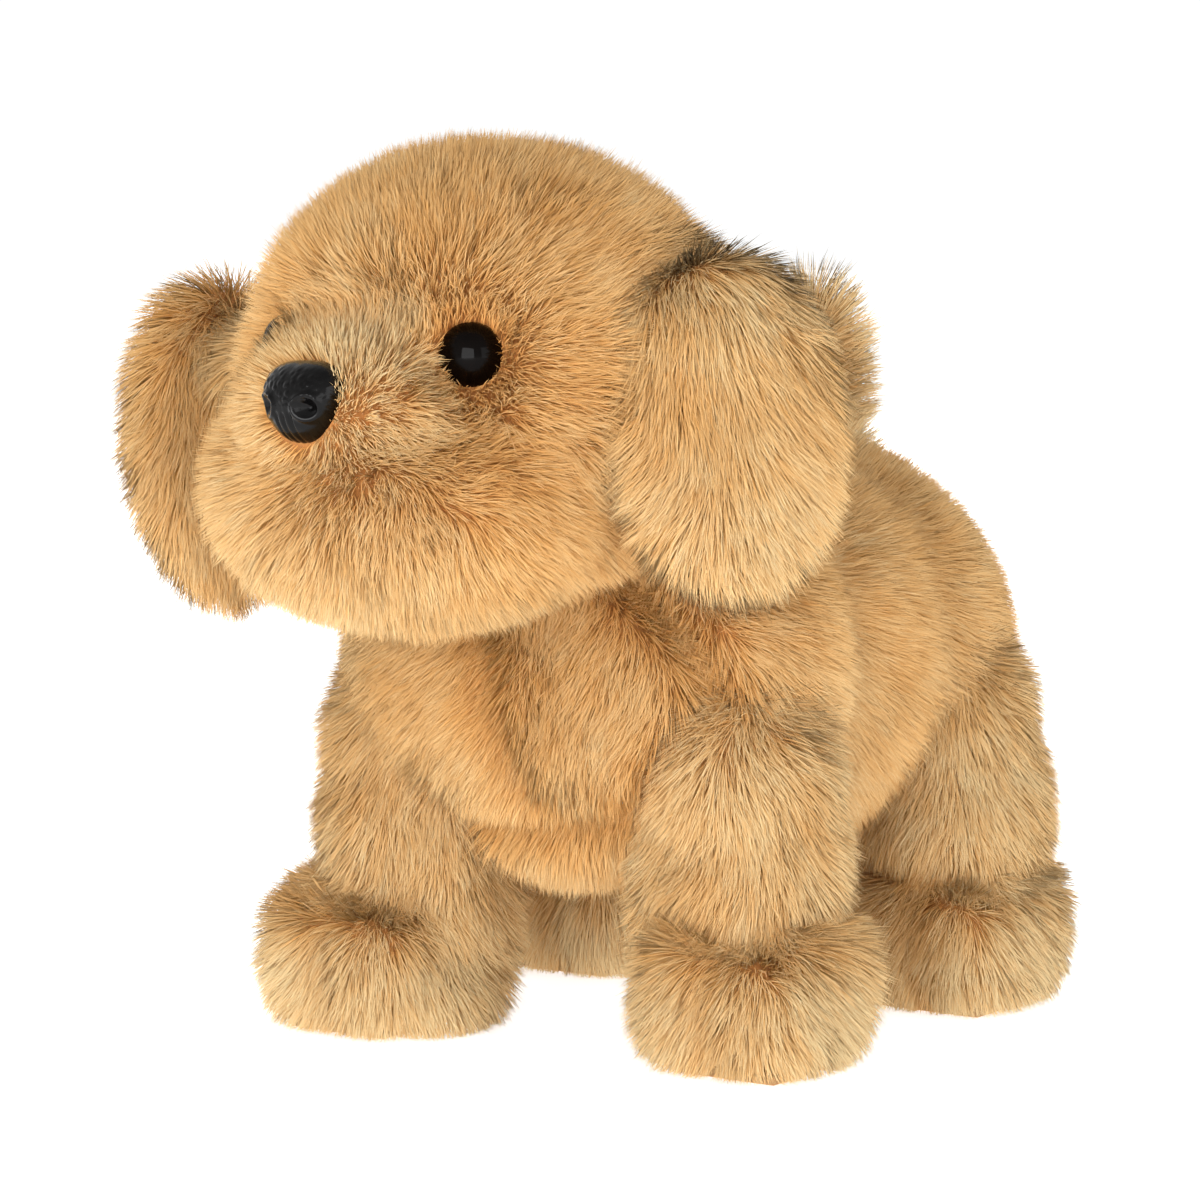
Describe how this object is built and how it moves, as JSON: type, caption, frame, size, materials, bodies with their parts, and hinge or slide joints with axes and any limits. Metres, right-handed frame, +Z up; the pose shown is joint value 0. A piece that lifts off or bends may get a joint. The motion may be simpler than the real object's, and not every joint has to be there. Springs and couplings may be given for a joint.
{
  "type": "interactive plush pet",
  "caption": "Walking plush puppy toy: golden faux-fur covers over a motor and gearbox that swing the legs, with nodding head, floppy ears and wagging tail.",
  "frame": {"origin": "on the floor, under the centre of the bounding box", "axes": "-Y is the way the dog faces, +X is its left side, +Z is up"},
  "size_m": [0.1614, 0.2053, 0.186],
  "materials": {
    "fur": "long-pile faux fur, matt",
    "filling": "loose fibre",
    "casing": "fine satin",
    "nylon": "moulded, satin",
    "black_gloss": "high gloss",
    "black_rubber": "matt",
    "tan_rubber": "matt",
    "board": "solder resist, satin",
    "cell_jacket": "printed film, plain",
    "steel": "bright",
    "brass": "bright"
  },
  "bodies": {
    "body": {"back_stuffing": "filling", "battery_box": "casing", "battery_contact_front": "steel", "battery_contact_rear": "steel", "battery_left": "cell_jacket", "battery_right": "cell_jacket", "circuit_board": "board", "first_gear_pin": "steel", "front_left_hip_pin": "steel", "front_right_hip_pin": "steel", "gearbox_left_shell": "casing", "gearbox_right_shell": "casing", "motor_can": "steel", "neck_bracket": "casing", "neck_pin": "steel", "rear_left_hip_pin": "steel", "rear_right_hip_pin": "steel", "second_gear_pin": "steel", "speaker": "black_rubber", "switch_housing": "black_rubber", "tail_pin": "steel", "torso_cover": "fur"},
    "head": {"neck_post": "casing", "head_cover": "fur", "head_stuffing": "filling", "eye_left": "black_gloss", "eye_right": "black_gloss", "eye_washer_left": "nylon", "eye_washer_right": "nylon", "nose": "black_gloss", "nose_washer": "nylon"},
    "ear_left": {"ear_left": "fur"},
    "ear_right": {"ear_right": "fur"},
    "tail": {"tail_cover": "fur", "tail_rod": "casing"},
    "motor_rotor": {"motor_shaft": "steel", "motor_pinion": "brass"},
    "first_gear": {"first_double_gear": "nylon"},
    "second_gear": {"second_double_gear": "nylon"},
    "crank": {"crank_gear": "nylon", "crank_shaft": "steel", "crank_disc_left": "nylon", "crank_disc_right": "nylon"},
    "link_rod_left": {"link_rod_left": "nylon"},
    "link_rod_right": {"link_rod_right": "nylon"},
    "power_switch": {"switch_slider": "casing"},
    "battery_door": {"battery_door": "casing", "battery_door_screw": "steel"},
    "front_left_leg": {"front_left_leg_frame": "casing", "front_left_leg_cover": "fur", "front_left_sole": "tan_rubber"},
    "front_right_leg": {"front_right_leg_frame": "casing", "front_right_leg_cover": "fur", "front_right_sole": "tan_rubber"},
    "rear_left_leg": {"rear_left_leg_frame": "casing", "rear_left_leg_cover": "fur", "rear_left_sole": "tan_rubber"},
    "rear_right_leg": {"rear_right_leg_frame": "casing", "rear_right_leg_cover": "fur", "rear_right_sole": "tan_rubber"}
  },
  "joints": [
    {"name": "head_nod", "type": "hinge", "parent": "body", "child": "head", "pos_m": [0.0072, -0.0154, 0.112], "axis": [1, 0, 0], "range_deg": [-8, 8]},
    {"name": "ear_left_lift", "type": "hinge", "parent": "head", "child": "ear_left", "pos_m": [0.04997, -0.039, 0.165], "axis": [-0.1045, -0.9945, 0], "range_deg": [0, 40]},
    {"name": "ear_right_lift", "type": "hinge", "parent": "head", "child": "ear_right", "pos_m": [-0.03954, -0.02959, 0.165], "axis": [0.1045, 0.9945, 0], "range_deg": [0, 40]},
    {"name": "tail_wag", "type": "hinge", "parent": "body", "child": "tail", "pos_m": [0.0072, 0.0796, 0.095], "axis": [0, 1, 0], "range_deg": [-15, 15]},
    {"name": "crank_turn", "type": "hinge", "parent": "body", "child": "crank", "pos_m": [0.0072, -0.0134, 0.075], "axis": [1, 0, 0], "continuous": true},
    {"name": "second_gear_turn", "type": "hinge", "parent": "body", "child": "second_gear", "pos_m": [0.0072, -0.0027, 0.07878], "axis": [1, 0, 0], "continuous": true},
    {"name": "first_gear_turn", "type": "hinge", "parent": "body", "child": "first_gear", "pos_m": [0.0072, 0.0076, 0.074], "axis": [1, 0, 0], "continuous": true},
    {"name": "motor_turn", "type": "hinge", "parent": "body", "child": "motor_rotor", "pos_m": [0.0072, 0.0076, 0.06265], "axis": [1, 0, 0], "continuous": true},
    {"name": "front_left_swing", "type": "hinge", "parent": "body", "child": "front_left_leg", "pos_m": [0.0072, -0.0134, 0.06], "axis": [1, 0, 0], "range_deg": [-16, 8]},
    {"name": "front_right_swing", "type": "hinge", "parent": "body", "child": "front_right_leg", "pos_m": [0.0072, -0.0134, 0.06], "axis": [1, 0, 0], "range_deg": [-8, 16]},
    {"name": "rear_left_swing", "type": "hinge", "parent": "body", "child": "rear_left_leg", "pos_m": [0.0072, 0.0666, 0.06], "axis": [1, 0, 0], "range_deg": [-16, 8]},
    {"name": "rear_right_swing", "type": "hinge", "parent": "body", "child": "rear_right_leg", "pos_m": [0.0072, 0.0666, 0.06], "axis": [1, 0, 0], "range_deg": [-8, 16]},
    {"name": "link_rod_left_pivot", "type": "hinge", "parent": "front_left_leg", "child": "link_rod_left", "pos_m": [0.0072, -0.0134, 0.051], "axis": [1, 0, 0], "range_deg": [-8, 16]},
    {"name": "link_rod_right_pivot", "type": "hinge", "parent": "front_right_leg", "child": "link_rod_right", "pos_m": [0.0072, -0.0134, 0.051], "axis": [1, 0, 0], "range_deg": [-16, 8]},
    {"name": "power_switch_slide", "type": "slide", "parent": "body", "child": "power_switch", "axis": [1, 0, 0], "range_m": [0, 0.004]},
    {"name": "battery_door_lift_off", "type": "slide", "parent": "body", "child": "battery_door", "axis": [0, 0, -1], "range_m": [0, 0.03]}
  ],
  "couplings": [
    {"joint": "second_gear_turn", "follows": "crank_turn", "ratio": -3},
    {"joint": "first_gear_turn", "follows": "crank_turn", "ratio": 9},
    {"joint": "motor_turn", "follows": "crank_turn", "ratio": -27},
    {"joint": "front_right_swing", "follows": "front_left_swing", "ratio": -1},
    {"joint": "rear_left_swing", "follows": "front_left_swing", "ratio": 1},
    {"joint": "rear_right_swing", "follows": "front_left_swing", "ratio": -1},
    {"joint": "link_rod_left_pivot", "follows": "front_left_swing", "ratio": -1},
    {"joint": "link_rod_right_pivot", "follows": "front_left_swing", "ratio": 1}
  ]
}
